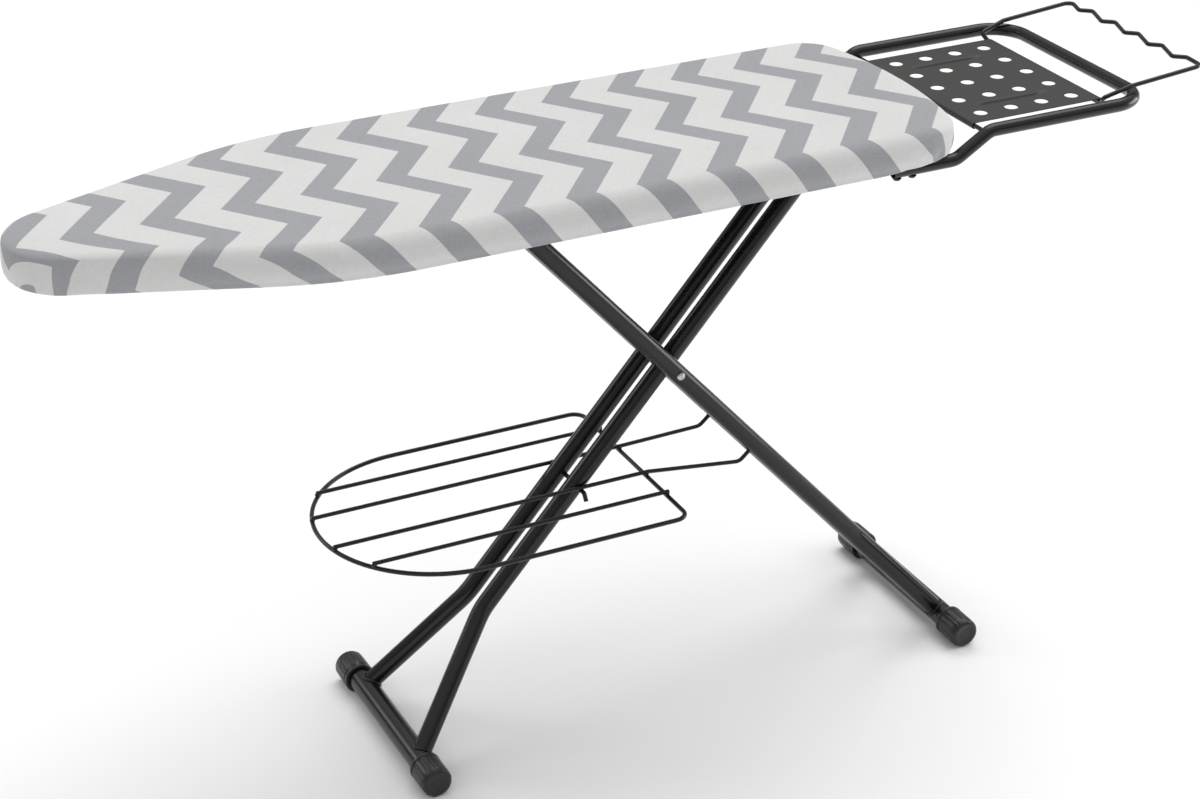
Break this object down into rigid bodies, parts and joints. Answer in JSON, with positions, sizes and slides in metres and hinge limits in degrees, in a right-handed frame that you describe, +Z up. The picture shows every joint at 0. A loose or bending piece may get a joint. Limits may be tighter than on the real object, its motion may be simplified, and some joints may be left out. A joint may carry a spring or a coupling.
{
  "type": "ironing board",
  "caption": "Folding ironing board with a padded chevron cover, crossed tube legs, a wire laundry rack and a perforated iron rest with a wavy hanger wire.",
  "frame": {"origin": "on the floor, below the middle of the whole object's bounding box, with the board set up for use", "axes": "+X runs from the board's nose to the iron rest, +Y across the board, +Z up"},
  "size_m": [1.5592, 0.372, 0.8049],
  "materials": {
    "black_powder_coat": "satin black powder coat on steel tube, wire and sheet",
    "plate_grey": "matt dark grey powder coat on steel sheet",
    "bright_steel": "zinc plated steel",
    "black_rubber": "matt ribbed rubber",
    "nylon": "matt nylon",
    "cover_cotton": "white cotton with a grey chevron print",
    "pad_foam": "felted pad"
  },
  "bodies": {
    "board": {"brace_heel": "black_powder_coat", "brace_middle": "black_powder_coat", "brace_nose": "black_powder_coat", "clamp_bolt_1": "bright_steel", "clamp_bolt_2": "bright_steel", "clamp_bolt_3": "bright_steel", "clamp_bolt_4": "bright_steel", "cover": "cover_cotton", "edge_rim": "black_powder_coat", "hanger_wire": "black_powder_coat", "height_rail_left": "black_powder_coat", "height_rail_right": "black_powder_coat", "hinge_bracket_left": "black_powder_coat", "hinge_bracket_right": "black_powder_coat", "hinge_pin": "bright_steel", "latch_bracket_left": "black_powder_coat", "latch_bracket_right": "black_powder_coat", "latch_pin": "bright_steel", "pad": "pad_foam", "rest_clamp_left": "black_powder_coat", "rest_clamp_right": "black_powder_coat", "rest_frame": "black_powder_coat", "rest_plate": "plate_grey", "rest_support_rod": "black_powder_coat", "return_spring": "bright_steel", "top_panel": "black_powder_coat"},
    "legs_a": {"leg_a_cap_left": "black_rubber", "leg_a_cap_right": "black_rubber", "leg_a_foot_bar": "black_powder_coat", "leg_a_hinge_tube": "black_powder_coat", "leg_a_tube_left": "black_powder_coat", "leg_a_tube_right": "black_powder_coat", "rack_rest_rod": "black_powder_coat", "pivot_spacer_middle": "nylon"},
    "legs_b": {"leg_b_cap_left": "black_rubber", "leg_b_cap_right": "black_rubber", "leg_b_foot_bar": "black_powder_coat", "leg_b_tube_left": "black_powder_coat", "leg_b_tube_right": "black_powder_coat", "slide_bar": "bright_steel", "slide_roller_left": "nylon", "slide_roller_right": "nylon", "pivot_axle": "bright_steel", "pivot_spacer_left": "nylon", "pivot_spacer_right": "nylon"},
    "rack": {"rack_loop": "black_powder_coat", "rack_wire_inner_left": "black_powder_coat", "rack_wire_inner_right": "black_powder_coat", "rack_wire_outer_left": "black_powder_coat", "rack_wire_outer_right": "black_powder_coat"},
    "latch": {"latch_plate": "bright_steel", "release_lever": "black_powder_coat", "lever_grip": "black_rubber"}
  },
  "joints": [
    {"name": "fold", "type": "hinge", "parent": "board", "child": "legs_a", "pos_m": [0.28321, 0, 0.74], "axis": [0, 1, 0], "range_deg": [0, 44.2]},
    {"name": "leg_cross", "type": "hinge", "parent": "legs_a", "child": "legs_b", "pos_m": [0.0474, 0, 0.475], "axis": [0, 1, 0], "range_deg": [-88.4, 0]},
    {"name": "rack_fold", "type": "hinge", "parent": "legs_b", "child": "rack", "pos_m": [0.1655, 0, 0.3423], "axis": [0, 1, 0], "range_deg": [0, 46.2]},
    {"name": "latch_release", "type": "hinge", "parent": "board", "child": "latch", "pos_m": [-0.4876, 0, 0.772], "axis": [0, -1, 0], "range_deg": [0, 3.5], "stiffness_Nm_per_rad": 30, "springref_deg": -3.44, "deforming": ["return_spring"]}
  ],
  "couplings": [
    {"joint": "leg_cross", "follows": "fold", "ratio": -2},
    {"joint": "rack_fold", "follows": "fold", "ratio": 1.0427}
  ]
}
